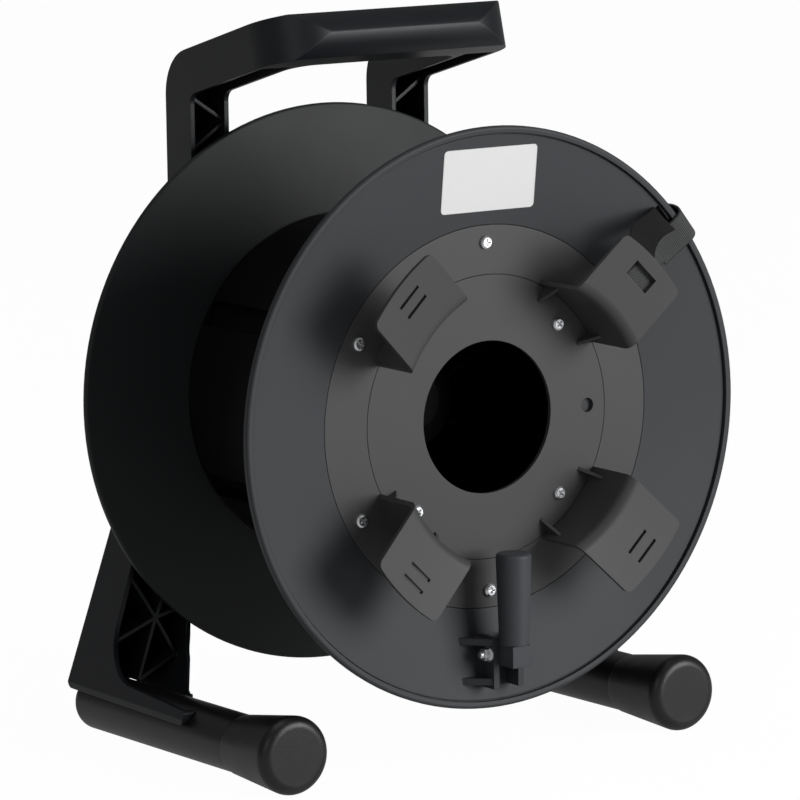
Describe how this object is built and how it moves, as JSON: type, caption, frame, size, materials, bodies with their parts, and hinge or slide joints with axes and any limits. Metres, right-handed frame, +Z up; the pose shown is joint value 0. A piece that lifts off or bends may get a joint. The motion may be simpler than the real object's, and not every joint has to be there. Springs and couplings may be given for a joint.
{
  "type": "cable reel",
  "caption": "Empty portable cable reel: moulded stand with carrying handle and tubular feet, flanged drum with cable hooks, and a folding crank.",
  "frame": {"origin": "on the floor, under the middle of the reel's footprint", "axes": "+Z up; the drum's axle runs along Y, with the crank side facing -Y; +X to the right of a viewer facing the crank side"},
  "size_m": [0.38, 0.2997, 0.4886],
  "materials": {
    "stand_plastic": "fine satin moulded",
    "foot_tube": "satin black coating",
    "foot_rubber": "matte",
    "zinc": "bright plated",
    "core_plastic": "satin moulded",
    "rear_plastic": "satin moulded",
    "flange_plastic": "fine satin moulded",
    "hub_plastic": "fine satin moulded",
    "grip_plastic": "fine satin moulded",
    "label_paper": "smooth coated",
    "strap_fabric": "woven loop pile"
  },
  "bodies": {
    "frame": {"stand": "stand_plastic", "foot_tube_left": "foot_tube", "foot_tube_right": "foot_tube", "foot_cap_left": "foot_rubber", "foot_cap_right": "foot_rubber", "axle_washer": "zinc", "axle_screw": "zinc"},
    "drum": {"drum_core": "core_plastic", "rear_flange": "rear_plastic", "front_flange": "flange_plastic", "axle_cap": "core_plastic", "hook_ring": "hub_plastic", "hub_cover": "hub_plastic", "label_panel": "label_paper", "strap": "strap_fabric", "pivot_bolt": "zinc", "pivot_washer": "zinc", "pivot_nut": "zinc", "ring_screw_1": "zinc", "ring_screw_2": "zinc", "ring_screw_3": "zinc", "ring_screw_4": "zinc", "ring_screw_5": "zinc", "ring_screw_6": "zinc", "cover_screw_1": "zinc", "cover_screw_2": "zinc", "cover_screw_3": "zinc", "cover_screw_4": "zinc"},
    "crank": {"crank_block": "flange_plastic"},
    "grip": {"crank_grip": "grip_plastic"}
  },
  "joints": [
    {"name": "drum_spin", "type": "hinge", "parent": "frame", "child": "drum", "pos_m": [0, 0, 0.229], "axis": [0, -1, 0], "continuous": true},
    {"name": "crank_fold", "type": "hinge", "parent": "drum", "child": "crank", "pos_m": [0, -0.1155, 0.0765], "axis": [1, 0, 0], "range_deg": [0, 90]},
    {"name": "grip_spin", "type": "hinge", "parent": "crank", "child": "grip", "pos_m": [0, -0.1277, 0.0838], "axis": [0, 0, 1], "continuous": true}
  ]
}
